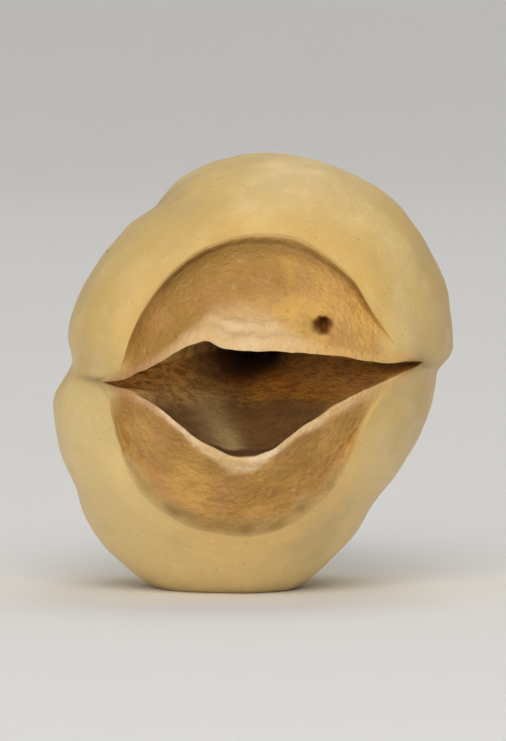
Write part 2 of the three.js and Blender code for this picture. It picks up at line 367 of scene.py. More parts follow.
def wrinkles(plan, t, angle):
    """Height of the skin's finer relief: long grain, thin striae, lumps and small dents."""
    radial = Vector((math.cos(angle), math.sin(angle), 0))
    place = Vector((plan.x, plan.y, t))
    waver = noise.noise(place * 0.6 + Vector((0, 9, 0)))
    long_grain = noise.noise(radial * 5 + Vector((0, 0, t * 0.25)))
    striae = abs(noise.noise(radial * 14 + Vector((0, 0, t * 0.35 + 0.6 * waver))))
    lumps = noise.noise(place * 0.45)
    dents = noise.noise(place * 1.1 + Vector((5, 0, 0)))
    return GRAIN_HEIGHT * long_grain + LUMP_HEIGHT * lumps + STRIA_HEIGHT * striae + DENT_HEIGHT * dents


def torn_fold_shadows(from_lip, fold):
    """Thin lines of painted shadow on both sides of the fold behind the torn lip."""
    return fold * (bump(from_lip - 0.47, 0.09) + 0.6 * bump(from_lip - 0.86, 0.06))


def lip_paleness_and_highlight(plan, upper):
    """Where the torn lip is palest, partly painted highlights where its edges catch the light."""
    if upper:
        return UPPER_LIP_HIGHLIGHT * bump(plan.x - TORN_FOLD_X, TORN_FOLD_REACH)
    return min(1.0, bumps(LOWER_LIP_HIGHLIGHTS, plan.x))


def mouth_ends(lip):
    """How near a point of the lips is to an end of the mouth, where the edges are dark."""
    return max(smooth(-3.5, -4.0, lip.x), smooth(4.0, 4.6, lip.x))


def warmth(plan, rim):
    """Where the flesh beside the rim is warm, which it is less low on the left."""
    low_left = smooth(-0.8, -3.0, plan.x) * smooth(0.0, -2.0, plan.y)
    return (1 - 0.9 * low_left) * bump((rim - plan).length, HALO_WIDTH)


def rim_shadow_line(plan, out, upward, coarse):
    """Painted shade just inside the rim: a crisp shadow above, soft and then faint to the left, ragged below.
    """
    width = mix(0.11, 0.26, smooth(-1.0, -2.2, plan.x))
    above = mix(1.0, 0.15, smooth(-2.5, -3.3, plan.x)) * bump(out - 0.91, width)
    below = (0.75 + 0.8 * coarse + 0.4 * bump(plan.x + 0.4, 1.2)) * bump(out - 0.9, 0.12)
    return mix(below, above, smooth(0.3, 0.6, upward))


def brown_skin(plan, out, upper, coarse, fine):
    """1 where the crater has its brown skin, down to 0 at the rim, with a ragged edge."""
    if upper:
        fades_from = mix(0.9, 0.6, smooth(-2.4, -3.2, plan.x))
        ragged = 0.05 * coarse + 0.04 * fine
    else:
        fades_from = 0.74
        ragged = 0.11 * coarse + 0.04 * fine
    return 1 - smooth(fades_from, 1.0, out + ragged)


class SeedForm:
    """Where each point of the seed's skin lies, and how much of each mark it bears.

    The stretches crater, shoulder, back, bore and cavity each take the angle of a column round the axis
    and the share of the way along the stretch. Plan points are taken before the upper seed leaf's slip.
    """

    def __init__(self, sizes):
        for name in sizes.bl_rna.properties.keys():
            if name not in ("name", "rna_type", "columns", "rings"):
                setattr(self, name, getattr(sizes, name) / MM)
        self.known_columns = {}

    def slip_at(self, z):
        return SLIP_CENTRE + 0.5 * self.slip * math.tanh(z / SLIP_BLEND)

    def placed(self, x, t, z):
        share = smooth(-self.base_reach, 0, t)
        return Vector((x + self.slip_at(z) * share, -t, z))

    def body_height(self, z):
        return self.height_above if z > 0 else self.depth_below

    def outline_share(self, plan):
        return oval_share(plan, self.half_width, self.body_height(plan.y), BODY_FULLNESS)

    def dome(self, plan):
        return self.tip_reach * math.sqrt(max(0.0, 1 - self.outline_share(plan) ** 2))

    def column(self, angle):
        """The plan points of the lip, rim and outline in a column, and how whole the rim is there."""
        if angle in self.known_columns:
            return self.known_columns[angle]
        turn = angle / math.pi
        lip = on_line(UPPER_LIP, turn) if turn <= 1 else on_line(LOWER_LIP, turn - 1)
        ragged = LIP_RAGGEDNESS * plan_noise(lip, 2.3, 4.1)
        lip.y += ragged * smooth(4.4, 3.2, abs(lip.x))
        lip.x -= self.slip_at(lip.y)
        outline = oval_point(angle, self.half_width, self.body_height(math.sin(angle)), BODY_FULLNESS)
        rim = oval_point(angle, self.crater_half_width, self.crater_half_height, CRATER_FULLNESS)
        rim.y += CRATER_CENTRE_Z
        from_centre = Vector((lip.x, lip.y - CRATER_CENTRE_Z))
        share = oval_share(from_centre, self.crater_half_width, self.crater_half_height, CRATER_FULLNESS)
        whole = 1 - smooth(*RIM_FADES, share)
        rim = rim.lerp(lip.lerp(outline, CRACK_BORDER), 1 - whole)
        self.known_columns[angle] = lip, rim, outline, whole
        return self.known_columns[angle]

    def relief(self, plan, t):
        """How far the skin stands out from the plain body, the painted shade in its grooves, and its dark
        crack.
        """
        angle = math.atan2(plan.y, plan.x)
        from_bore = (plan - BORE_AT).length
        corner = UPPER_LIP[0].y if plan.x > 0 else LOWER_LIP[0].y
        depth, width = SEAM_RIGHT if plan.x > 0 else SEAM_LEFT
        from_seam = plan.y - corner * smooth(*SEAM_BEND, t)
        seam = bump(from_seam, width) * smooth(SEAM_ENDS_AT, SEAM_FULL_FROM, t)
        crease = 0.0
        for at, deep, wide, twist, middle, reach in CREASES:
            crease += deep * bump(angle_apart(angle, at + twist * t), wide) * bump(t - middle, reach)
        flat = 0.0
        for at, deep, wide, middle, reach in FLATS:
            flat += deep * bump(angle_apart(angle, at), wide) * bump(t - middle, reach)
        # Two waves of different counts, so that the folds aren't even.
        ripple = math.cos(FOLDS * angle) + 0.5 * math.cos((FOLDS - 2) * angle + 1.2)
        fold = FOLD_DEPTH * ripple * bump(from_bore - FOLD_RADIUS, FOLD_WIDTH) if t < 0 else 0.0
        swelling = SWELLING * (math.sin(2 * angle + 0.4 * t) + 0.6 * math.sin(3 * angle - 0.5 * t + 1))
        crack = bump(from_seam, CRACK_WIDTH) * smooth(*CRACK_REACH, t)
        groove = SEAM_DARKNESS * seam + CREASE_DARKNESS * crease
        groove += FOLD_DARKNESS * max(0.0, -fold / FOLD_DEPTH)
        height = swelling + fold - depth * seam - flat - crease - CRACK_DEPTH * crack
        return height, groove, crack

    def skin(self, plan, t, share):
        """A point of the outer skin, raised by its share of the relief and of the finer wrinkles."""
        reach = self.tip_reach if t > 0 else self.base_reach
        normal = Vector((
            plan.x / self.half_width ** 2,
            t / reach ** 2,
            plan.y / self.body_height(plan.y) ** 2,
        )).normalized()
        height, groove, crack = self.relief(plan, t)
        fine = wrinkles(plan, t, math.atan2(plan.y, plan.x))
        point = Vector((plan.x, t, plan.y)) + normal * (share * (height + fine))
        return self.placed(point.x, point.y, point.z), {"groove": groove * share, "crack": crack * share}

    def crater(self, angle, share):
        """The brown skin between a lip and the rim, with the torn fold and the pit."""
        lip, rim, _, whole = self.column(angle)
        upper = angle < math.pi
        out = 0.5 - 0.5 * math.cos(math.pi * share)
        plan = lip.lerp(rim, out)
        upward = 0.5 + 0.5 * math.sin(angle)
        depth = mix(self.crater_depth_below, self.crater_depth_above, upward)
        wall = 1 - mix(CRATER_WALL_BELOW, CRATER_WALL_ABOVE, upward)
        sunk = min(out / wall, 1) * (1 - smooth(wall, 1, out))
        from_lip = (plan - lip).length
        from_pit = (plan - PIT_AT).length / PIT_RADIUS
        fold = bump(plan.x - TORN_FOLD_X, TORN_FOLD_REACH) if upper else 0.0
        coarse, fine = plan_noise(plan, 2.2, 0), plan_noise(plan, 5, 3)
        inside = whole * brown_skin(plan, out, upper, coarse, fine)

        crest = LIP_CREST * bump(from_lip - LIP_CREST_AT, LIP_WIDTH)
        crest += TORN_FOLD_HEIGHT * fold * bump(from_lip - TORN_FOLD_AT, TORN_FOLD_WIDTH)
        rough = (CRATER_COARSE * coarse + CRATER_FINE * fine) * inside * smooth(0, 0.15, out)
        pit = PIT_DEPTH * (1 - smooth(0.55, 1.1, from_pit))
        t = self.dome(plan) - whole * depth * sunk + crest + rough - pit
        point, masks = self.skin(plan, t, out ** 4)

        ends = mouth_ends(lip)
        band = UPPER_BAND_WIDTH + fold if upper else LOWER_BAND_WIDTH + bumps(LOWER_LIP_BAND, plan.x)
        pit_spot = PIT_SPOT_DARKNESS * bump((plan - PIT_AT - PIT_SPOT_FROM).length, PIT_SPOT_SPREAD)
        masks["crater"] = inside
        masks["halo"] = whole * warmth(plan, rim)
        masks["lip"] = (1 - 0.6 * ends) * (1 - smooth(band * 0.5, band * 1.3, from_lip + 0.1 * fine))
        masks["crack"] = max(masks["crack"], ends * bump(from_lip, MOUTH_END_WIDTH))
        # Pale shreds on the lips, partly painted highlights.
        masks["pale"] = lip_paleness_and_highlight(plan, upper)
        # The rim mark is the painted shadow under the rim, together with the brown spot beside the pit.
        masks["rim"] = max(0.0, whole * rim_shadow_line(plan, out, upward, coarse), pit_spot)
        # Thin lines of painted shadow beside the torn fold.
        masks["groove"] += TORN_LINE_DARKNESS * torn_fold_shadows(from_lip + 0.12 * coarse + 0.1 * fine, fold)
        masks["pit"] = 1 - smooth(0.8, 1.35, from_pit + 0.2 * fine)
        return point, masks

    def shoulder(self, angle, share):
        """The flesh between the rim and the widest section."""
        lip, rim, outline, whole = self.column(angle)
        start = math.asin(min(0.98, self.outline_share(rim)))
        turn = math.sin(mix(start, math.pi / 2, share))
        plan = rim.lerp(outline, (turn - math.sin(start)) / (1 - math.sin(start)))
        swell = RIM_SWELL * whole * smooth(0, 0.15, share)
        swell *= bump((plan - rim).length - RIM_SWELL_AT, RIM_WIDTH)
        swell *= 0.7 + 0.3 * math.sin(angle)
        from_lip = (plan - lip).length
        crest = LIP_CREST * bump(from_lip - LIP_CREST_AT, LIP_WIDTH)
        point, masks = self.skin(plan, self.dome(plan) + swell + crest, 1)
        ends = mouth_ends(lip)
        masks["halo"] = whole * warmth(plan, rim)
        masks["lip"] = (1 - 0.6 * ends) * (1 - whole) * (1 - smooth(0.1, 0.3, from_lip))
        masks["crack"] = max(masks["crack"], ends * bump(from_lip, MOUTH_END_WIDTH))
        return point, masks

    def back(self, angle, share):
        """The flesh between the widest section and the bore."""
        turn = share * math.pi / 2
        radius = self.bore_radius * (1 + BORE_CORNER_SHARE * math.cos(BORE_CORNERS * (angle - math.pi / 2)))
        hole = BORE_AT + Vector((radius * math.cos(angle), radius * math.sin(angle)))
        outline = self.column(angle)[2]
        plan = hole.lerp(outline, math.cos(turn) ** BASE_BLUNTNESS)
        from_bore = (plan - BORE_AT).length
        dimple = DIMPLE_DEPTH * bump(from_bore, DIMPLE_RADIUS)
        point, masks = self.skin(plan, dimple - self.base_reach * math.sin(turn), 1)
        # Painted shade round the bore's edge.
        masks["groove"] += BORE_EDGE_DARKNESS * bump(from_bore - self.bore_radius, 0.25)
        return point, masks

    def bore(self, angle, share):
        """The short wall between the bore's edge and the cavity."""
        start = self.back(angle, 1)[0]
        end = self.cavity(angle, 0)[0]
        # The bore's wall gets painted shade: darker with depth, and at its outer end.
        return start.lerp(end, share), {
            "hollow": smooth(0, 0.6, share),
            "floor": 0.7 * smooth(0, 0.1, share),
            "groove": 0.6 * (1 - share),
        }

    def cavity(self, angle, share):
        """The hollow's wall, from the bore to the mouth."""
        section = on_line(CAVITY, share)
        lip = self.column(angle)[0]
        bottom, top = CAVITY[0].y, CAVITY[-1].y
        lip_height = self.dome(lip) + LIP_CREST * bump(LIP_CREST_AT, LIP_WIDTH)
        plan = on_line(CAVITY_AXIS, share) + Vector((
            section.x * math.cos(angle),
            section.z * signed_power(math.sin(angle), 1 + CAVITY_LENS * share),
        ))
        plan = plan.lerp(lip, smooth(1 - MOUTH_BLEND, 1, share))
        t = mix(bottom, lip_height, (section.y - bottom) / (top - bottom))
        inward = smooth(0, 0.1, 1 - share)
        folds = CAVITY_FOLD_DEPTH * math.cos(CAVITY_FOLDS * angle + 0.5 * math.sin(2 * angle + 0.3 * t))
        lumps = CAVITY_ROUGHNESS * noise.noise(Vector((plan.x, plan.y, t)) * 1.3)
        rough = 1 + (lumps + folds) * inward
        point = self.placed(plan.x * rough, t, plan.y * rough)

        # Painted shade: darker with depth, on the lower wall, in spots just inside the lips and at the
        # mouth's corners.
        depth = (lip_height - t) / HOLLOW_DEPTH
        spots = (0.5 + plan_noise(lip, 1.9, 7.3)) * bump(depth - 0.05, 0.045)
        corner = 0.32 * smooth(3.4, 4.1, abs(lip.x)) * smooth(0.0, 0.015, depth) * smooth(0.1, 0.04, depth)
        streak = bump((plan - LIT_STREAK_AT).dot(LIT_STREAK_ACROSS), LIT_STREAK_WIDTH) * smooth(0.9, 0.1, plan.y)
        streak *= mix(0.6, 1.0, smooth(-1.2, -1.9, plan.y))
        return point, {
            "hollow": min(1.0, depth),
            "lip": 1 - smooth(0, 0.025, 1 - share),
            # Pale shreds, partly painted highlights, reach just inside the lips.
            "pale": 0.6 * lip_paleness_and_highlight(lip, angle < math.pi),
            "floor": smooth(-0.1, -1.0, plan.y) * smooth(1.0, 0.5, depth),
            "lip_shade": max(spots, corner),
            # A greyish streak of painted light on the lower wall, and grey toward the mouth's right end.
            "lit_streak": max(streak * smooth(0.02, 0.1, depth), 0.7 * smooth(3.0, 4.0, lip.x)),
        }


def length_property(name, description, millimetres, least=0):
    return FloatProperty(
        name=name, description=description, default=millimetres * MM, min=least * MM,
        precision=6, unit="LENGTH")


def colour_property(name, description, default):
    return FloatVectorProperty(
        name=name, description=description, default=default, subtype="COLOR", min=0, max=1)


class SeedSizes(bpy.types.PropertyGroup):
    half_width: length_property("Half width", "Half of the widest section across the seam", 5.62, least=1)
    height_above: length_property(
        "Height above", "Height of the upper seed leaf over the seam", 6.25, least=1)
    depth_below: length_property(
        "Depth below", "Depth of the lower seed leaf under the seam, before the resting spot", 6.94, least=1)
    tip_reach: length_property(
        "Tip reach", "From the widest section to the top of the tip's dome", 6.6, least=1)
    base_reach: length_property("Base reach", "From the widest section to the base", 7.5, least=1)
    slip: length_property(
        "Slip", "How far the upper seed leaf has slipped sideways over the lower one", 0.42)
    flat_depth: length_property("Flat depth", "How much of the lowest point the resting spot takes off", 0.6)
    crater_half_width: length_property(
        "Crater half width", "Half of the brown crater across the seam", 3.75)
    crater_half_height: length_property(
        "Crater half height", "Half of the brown crater over both seed leaves", 4.38)
    crater_depth_above: length_property(
        "Crater depth above", "Drop from the rim to the upper crescent", 0.56)
    crater_depth_below: length_property(
        "Crater depth below", "Drop from the rim to the lower crescent", 0.28)
    bore_radius: length_property("Bore radius", "Radius of the small hole at the base", 0.6, least=0.1)
    columns: IntProperty(
        name="Columns", description="Columns of faces round the seed", default=272, min=48)
    rings: IntProperty(
        name="Rings", description="Rings of faces along the skin, outside and in", default=330, min=60)


class SeedColours(bpy.types.PropertyGroup):
    flesh: colour_property("Flesh", "Main colour of the peeled seed leaves", (0.70, 0.475, 0.15))
    # Also the painted light low down on the flesh.
    flesh_pale_and_lit: colour_property("Pale flesh", "Palest patches of the seed leaves", (0.82, 0.60, 0.245))
    flesh_olive: colour_property("Olive flesh", "Greenish patches of the seed leaves", (0.57, 0.44, 0.18))
    flesh_stain: colour_property("Stained flesh", "Yellow brown stains toward the base", (0.60, 0.36, 0.10))
    # Used as the painted shadow on the right flank.
    flesh_flank_shadow: colour_property("Ochre flesh", "Flank that was dried a little darker", (0.50, 0.32, 0.10))
    flesh_warm: colour_property("Warm flesh", "Flesh beside the crater's rim", (0.74, 0.45, 0.14))
    skin: colour_property("Brown skin", "Main colour of the skin left in the crater", (0.44, 0.225, 0.045))
    skin_pink: colour_property(
        "Pinkish skin", "Pinkish patches of the skin in the crater", (0.56, 0.285, 0.095))
    skin_light: colour_property(
        "Light skin", "Peach patches of the skin in the crater", (0.75, 0.425, 0.105))
    # Painted shadow under the crater's rim, also used for the brown spot beside the pit.
    rim_shadow_and_spot: colour_property("Rim", "Olive brown skin under the crater's upper rim", (0.33, 0.19, 0.045))
    lip: colour_property("Lips", "Torn edge of the mouth", (0.76, 0.50, 0.23))
    # Pale shreds of the lips, partly painted highlights.
    lip_pale_and_highlight: colour_property("Bright lips", "Palest shreds of the torn edge", (0.92, 0.70, 0.44))
    lip_left: colour_property("Left lip", "Pinkish torn edge at the mouth's left end", (0.50, 0.26, 0.105))
    lip_right: colour_property("Right lip", "Peach torn edge at the mouth's right end", (0.74, 0.43, 0.135))
    hollow_left: colour_property("Hollow left", "Pinkish walls at the cavity's left side", (1.0, 0.62, 0.19))
    hollow_right: colour_property(
        "Hollow right", "Browner walls at the cavity's right side", (1.0, 0.50, 0.065))
    # Greyish painted light on the cavity's lower wall.
    hollow_lit_grey: colour_property("Hollow dust", "Greyish bloom on the cavity's walls", (0.48, 0.34, 0.14))
    # Painted shade on the cavity's lower wall and just inside the lips.
    hollow_shade: colour_property(
        "Hollow stain", "Dark spots just inside the lips, and the lower wall", (0.09, 0.035, 0.008))
    # Painted shade deep in the cavity and the bore, and the crumbs on the cavity's wall.
    deep_shade_and_crumbs: colour_property("Deep hollow", "The cavity's far end", (0.27, 0.125, 0.03))
    pit: colour_property("Pit", "The small dark pit in the upper crescent", (0.19, 0.06, 0.003))
    crack: colour_property("Crack", "The split that runs on from the mouth's corners", (0.15, 0.085, 0.008))
    # Painted shade in the grooves, folds, bore and beside the torn fold, and the dark specks on the brown
    # skin.
    crease_shade_and_specks: colour_property("Grooves", "Dark colour that gathers in grooves and pits", (0.16, 0.075, 0.02))


class StageSettings(bpy.types.PropertyGroup):
    floor: colour_property("Floor", "Colour of the floor and backdrop", (0.87, 0.86, 0.84))
    distance: FloatProperty(
        name="Camera distance", description="From the camera to the middle of the seed",
        default=0.3, min=0.05, precision=4, unit="LENGTH")
    elevation: FloatProperty(
        name="Camera elevation", description="How far the camera looks down",
        default=math.radians(3), subtype="ANGLE")
    lens: FloatProperty(name="Lens", description="Focal length in millimetres", default=500, min=20)
    key_power: FloatProperty(
        name="Key light", description="Power of the key light, which the others follow",
        default=1.15, min=0, unit="POWER")
    world_strength: FloatProperty(
        name="World strength", description="Strength of the even light from all round", default=0.39, min=0)
    backdrop_radius: FloatProperty(
        name="Backdrop radius", description="From the middle of the floor to the wall",
        default=0.9, min=0.5, unit="LENGTH")


def link_object(name, contents):
    thing = bpy.data.objects.new(name, contents)
    bpy.context.scene.collection.objects.link(thing)
    return thing


def stretch_at(along):
    """The stretch of skin at a place along the closed profile, and how far through it that place is."""
    start = 0.0
    for name, share in STRETCHES:
        if along < start + share - 1e-9:
            return name, (along - start) / share
        start += share
    return STRETCHES[0][0], 0.0


def full_spin(bm, steps):
    bmesh.ops.spin(
        bm, geom=bm.verts[:] + bm.edges[:], cent=(0, 0, 0), axis=(0, 0, 1), angle=2 * math.pi,
        steps=steps, use_merge=True)


def seed_mesh(sizes):
    """A closed ring of faces, spun and then drawn out over the tip, the flanks, the base and the cavity."""
    form = SeedForm(sizes)
    mesh = bpy.data.meshes.new(NODE + "_skin")
    bm = bmesh.new()
    circle = bmesh.ops.create_circle(bm, segments=sizes.rings, radius=0.5)
    for vert in circle["verts"]:
        vert.co = Vector((1 + vert.co.x, 0, vert.co.y))
    full_spin(bm, sizes.columns)
    layers = {name: bm.verts.layers.float.new(name) for name in MASKS}
    for vert in bm.verts:
        even = math.atan2(vert.co.y, vert.co.x) % (2 * math.pi)
        column = round(even / (2 * math.pi) * sizes.columns) % sizes.columns
        even = column / sizes.columns * 2 * math.pi
        angle = even - 0.5 * SEAM_CLUSTER * math.sin(2 * even)
        turn = math.atan2(vert.co.z, vert.co.xy.length - 1) / (2 * math.pi) % 1
        ring = int(turn * sizes.rings + 0.25) % sizes.rings
        stretch, share = stretch_at(ring / sizes.rings)
        vert.co, masks = getattr(form, stretch)(angle, share)
        for mask, value in masks.items():
            vert[layers[mask]] = value
    settle(bm, form.flat_depth)
    bmesh.ops.scale(bm, vec=(MM, MM, MM), verts=bm.verts[:])
    bmesh.ops.recalc_face_normals(bm, faces=bm.faces[:])
    for face in bm.faces:
        face.smooth = True
    bm.to_mesh(mesh)
    bm.free()
    return mesh


def settle(bm, flat_depth):
    """Takes the resting spot off the lowest point and sets the seed where the frame's seed lies."""
    low = Vector([min(v.co[i] for v in bm.verts) for i in range(3)])
    high = Vector([max(v.co[i] for v in bm.verts) for i in range(3)])
    floor = low.z + flat_depth
    for vert in bm.verts:
        vert.co.z = max(vert.co.z, floor)
    middle = (CAD_LOW + CAD_HIGH) / (2 * MM)
    shift = Vector((middle.x - (low.x + high.x) / 2, middle.y - (low.y + high.y) / 2, -floor))
    bmesh.ops.translate(bm, vec=shift, verts=bm.verts[:])


def opaque(colour):
    return (*colour, 1.0)


class Graph:
    """Short ways to add and join the nodes of one material."""

    def __init__(self, name):
        self.material = bpy.data.materials.new(name)
        self.material.use_nodes = True
        self.tree = self.material.node_tree
        self.shader = self.tree.nodes["Principled BSDF"]
        self.place = self.add("ShaderNodeTexCoord").outputs["Object"]
        self.axes = None
        self.masks = {}

    def add(self, kind, **values):
        node = self.tree.nodes.new(kind)
        for name, value in values.items():
            setattr(node, name, value)
        return node

    def join(self, source, socket):
        """Links a socket to another, or gives it a plain value."""
        if hasattr(source, "links"):
            self.tree.links.new(source, socket)
        else:
            socket.default_value = source

    def noise(self, lumps):
        mapping = self.add("ShaderNodeMapping")
        self.join(self.place, mapping.inputs["Vector"])
        mapping.inputs["Scale"].default_value = lumps.stretch
        mapping.inputs["Location"].default_value = lumps.offset
        node = self.add("ShaderNodeTexNoise")
        self.join(mapping.outputs["Vector"], node.inputs["Vector"])
        node.inputs["Scale"].default_value = 1 / (lumps.size * MM)
        node.inputs["Detail"].default_value = lumps.detail
        node.inputs["Roughness"].default_value = lumps.roughness
        return node.outputs["Fac"]

    def ramp(self, source, low, high):
        """0 at low and 1 at high, smoothly."""
        node = self.add("ShaderNodeMapRange", interpolation_type="SMOOTHSTEP")
        self.join(source, node.inputs["Value"])
        node.inputs["From Min"].default_value = low
        node.inputs["From Max"].default_value = high
        return node.outputs["Result"]

    def math(self, operation, a, b=0.0):
        node = self.add("ShaderNodeMath", operation=operation)
        self.join(a, node.inputs[0])
        self.join(b, node.inputs[1])
        return node.outputs["Value"]

    def mask(self, name):
        """One of the marks that the mesh bears."""
        if name not in self.masks:
            self.masks[name] = self.add("ShaderNodeAttribute", attribute_name=name).outputs["Fac"]
        return self.masks[name]

    def axis(self, name):
        if not self.axes:
            node = self.add("ShaderNodeSeparateXYZ")
            self.join(self.place, node.inputs[0])
            self.axes = node.outputs
        return self.axes[name]

    def zone(self, zone):
        """0 where the zone starts and 1 where it is full."""
        axis, start, full = zone
        return self.ramp(self.axis(axis), start * MM, full * MM)

    def dot(self, vector, direction):
        node = self.add("ShaderNodeVectorMath", operation="DOT_PRODUCT")
        self.join(vector, node.inputs[0])
        node.inputs[1].default_value = direction
        return node.outputs["Value"]

    def blend(self, a, b, share):
        """Colour a where share is 0 and colour b where it is 1."""
        node = self.add("ShaderNodeMix", data_type="RGBA", clamp_factor=True)
        self.join(share, node.inputs[0])
        for socket, value in ((node.inputs[6], a), (node.inputs[7], b)):
            self.join(value if hasattr(value, "links") else opaque(value), socket)
        return node.outputs[2]

    def tint(self, base, colour, mask, strength):
        """The base, with that strength of the colour where the mask is 1."""
        return self.blend(base, colour, self.math("MULTIPLY", mask, strength))

    def spread(self, base, colour, patches, where=None):
        """The base with patches of the colour on it, kept to where the other mask is, if there is one."""
        mask = self.ramp(self.noise(patches.lumps), patches.start, patches.full)
        if where is not None:
            mask = self.math("MULTIPLY", mask, where)
        return self.tint(base, colour, mask, patches.strength)

    def split(self, angle, start, end):
        """A thin wavering line along the seed at that angle round its axis, from start to end along Y."""
        outward = Vector((math.cos(angle), 0, math.sin(angle)))
        across = Vector((-math.sin(angle), 0, math.cos(angle)))
        from_axis = self.add("ShaderNodeVectorMath", operation="SUBTRACT")
        self.join(self.place, from_axis.inputs[0])
        from_axis.inputs[1].default_value = (0, 0, AXIS_HEIGHT * MM)
        aside = self.dot(from_axis.outputs[0], across)
        waver = self.math("SUBTRACT", self.noise(SPLIT_BENDS._replace(offset=(angle, 0, 0))), 0.5)
        aside = self.math("ADD", aside, self.math("MULTIPLY", waver, SPLIT_WAVER * 2 * MM))
        line = self.ramp(self.math("ABSOLUTE", aside), SPLIT_WIDTH * MM, 0.3 * SPLIT_WIDTH * MM)
        begun = self.zone(("Y", start, start + SPLIT_FADE))
        not_ended = self.zone(("Y", end, end - SPLIT_FADE))
        reach = self.math("MULTIPLY", begun, not_ended)
        facing = self.ramp(self.dot(from_axis.outputs[0], outward), 0.5 * MM, 1.5 * MM)
        return self.math("MULTIPLY", line, self.math("MULTIPLY", reach, facing))


def flesh_colour(g, colours, splits):
    """Dry flesh: painted light low down, warm by the rim, painted shadow on the right flank, stained toward
    the base.
    """
    # Painted light: paler low down, and more so low on the left.
    low = g.zone(UNDERSIDE_LIGHT)
    low_left = g.math("MULTIPLY", low, g.zone(LOW_LEFT_LIGHT))
    paler = g.math("ADD", g.noise(FLESH_LUMPS), g.math("MULTIPLY", low, 0.32))
    paler = g.math("ADD", paler, g.math("MULTIPLY", low_left, 0.3))
    flesh = g.blend(colours.flesh, colours.flesh_pale_and_lit, g.ramp(paler, 0.38, 0.66))
    # Painted shadow on the right flank.
    flesh = g.tint(flesh, colours.flesh_flank_shadow, g.zone(RIGHT_FLANK_SHADOW), FLANK_SHADOW_STRENGTH)
    flesh = g.spread(flesh, colours.flesh_olive, OLIVE_PATCHES, g.math("SUBTRACT", 1.0, low_left))
    flesh = g.tint(flesh, colours.flesh_warm, g.mask("halo"), HALO_STRENGTH)
    flesh = g.spread(flesh, colours.flesh_olive, OLIVE_STREAKS)
    flesh = g.spread(flesh, colours.flesh_stain, BASE_STAINS, g.zone(FRONT_TO_REAR))
    flesh = g.spread(flesh, colours.flesh_pale_and_lit, CLOUDS)
    flesh = g.spread(flesh, colours.skin, FRECKLES)
    return g.tint(flesh, colours.crack, splits, SPLIT_STRENGTH)


def brown_skin_colour(g, colours):
    """Papery skin: lighter to the right and from low on the left to high on the right, with specks."""
    unlike = g.math("ABSOLUTE", g.math("SUBTRACT", g.zone(TIP_RIGHTWARD), g.zone(TIP_UPWARD)))
    lumps = g.math("MULTIPLY", g.noise(SKIN_LUMPS), 0.85)
    lighter = g.math("ADD", g.math("MULTIPLY", g.zone(SKIN_RIGHTWARD), 0.3), lumps)
    lighter = g.math("ADD", lighter, g.math("SUBTRACT", 0.13, g.math("MULTIPLY", unlike, 0.36)))
    skin = g.blend(colours.skin, colours.skin_light, g.ramp(lighter, 0.4, 0.85))
    skin = g.spread(skin, colours.skin_pink, PINK_PATCHES)
    skin = g.spread(skin, colours.crease_shade_and_specks, DARK_SPECKS)
    return g.spread(skin, colours.lip, PALE_FLECKS)


def cavity_wall_colour(g, colours):
    """Pinkish left, browner right; painted shade inward, low down and inside the lips; a grey painted light
    streak.
    """
    wall = g.blend(colours.hollow_left, colours.hollow_right, g.zone(CAVITY_RIGHTWARD))
    wall = g.spread(wall, colours.deep_shade_and_crumbs, CRUMBS)
    # Painted shade, deeper inward.
    wall = g.blend(wall, colours.deep_shade_and_crumbs, g.ramp(g.mask("hollow"), 0.4, 0.95))
    # Painted shade on the lower wall.
    wall = g.tint(wall, colours.hollow_shade, g.mask("floor"), LOWER_WALL_SHADE_STRENGTH)
    # Painted light: a greyish streak on the lower wall.
    wall = g.tint(wall, colours.hollow_lit_grey, g.mask("lit_streak"), LIT_STREAK_STRENGTH)
    # Painted shade in spots just inside the lips and at the mouth's corners.
    return g.blend(wall, colours.hollow_shade, g.ramp(g.mask("lip_shade"), 0.25, 0.7))


def torn_lip_colour(g, colours):
    """Pinkish at the left end and peach at the right one, with pale shreds between, partly painted
    highlights.
    """
    torn = g.blend(colours.lip_left, colours.lip, g.zone(LIP_PAST_LEFT_END))
    torn = g.blend(torn, colours.lip_right, g.zone(LIP_TO_RIGHT_END))
    # Pale shreds, partly painted highlights.
    return g.spread(torn, colours.lip_pale_and_highlight, SHREDS, g.mask("pale"))


def seed_colour(g, colours, splits):
    """The flesh, and on it the brown skin, the cavity, the torn lips, the painted shade and the dark marks.
    """
    colour = g.blend(flesh_colour(g, colours, splits), brown_skin_colour(g, colours), g.mask("crater"))
    # Painted shadow under the rim, with the brown spot beside the pit.
    colour = g.tint(colour, colours.rim_shadow_and_spot, g.mask("rim"), RIM_SHADOW_STRENGTH)
    colour = g.blend(colour, cavity_wall_colour(g, colours), g.ramp(g.mask("hollow"), 0.0, 0.03))
    colour = g.tint(colour, torn_lip_colour(g, colours), g.mask("lip"), LIP_STRENGTH)
    # Painted shade in the grooves, folds and bore.
    colour = g.tint(colour, colours.crease_shade_and_specks, g.mask("groove"), GROOVE_SHADE_STRENGTH)
    colour = g.tint(colour, colours.crack, g.mask("crack"), CRACK_STRENGTH)
    return g.blend(colour, colours.pit, g.mask("pit"))


def seed_surface(g, inside):
    """The wax sheen and how dull it is, which depends on the brown skin and the cavity."""
    crater = g.mask("crater")
    rough = g.math("ADD", g.math("MULTIPLY", g.noise(SHEEN_LUMPS), ROUGHNESS_VARIES), FLESH_ROUGHNESS)
    rough = g.math("ADD", rough, g.math("MULTIPLY", crater, SKIN_ROUGHER))
    g.join(g.math("MAXIMUM", rough, inside), g.shader.inputs["Roughness"])
    without_wax = g.math("MAXIMUM", g.math("MULTIPLY", crater, SKIN_LESS_WAX), inside)
    wax = g.math("MULTIPLY", g.math("SUBTRACT", 1.0, without_wax), WAX_SHEEN)
    g.join(wax, g.shader.inputs["Coat Weight"])
    for name, value in SURFACE.items():
        g.shader.inputs[name].default_value = value


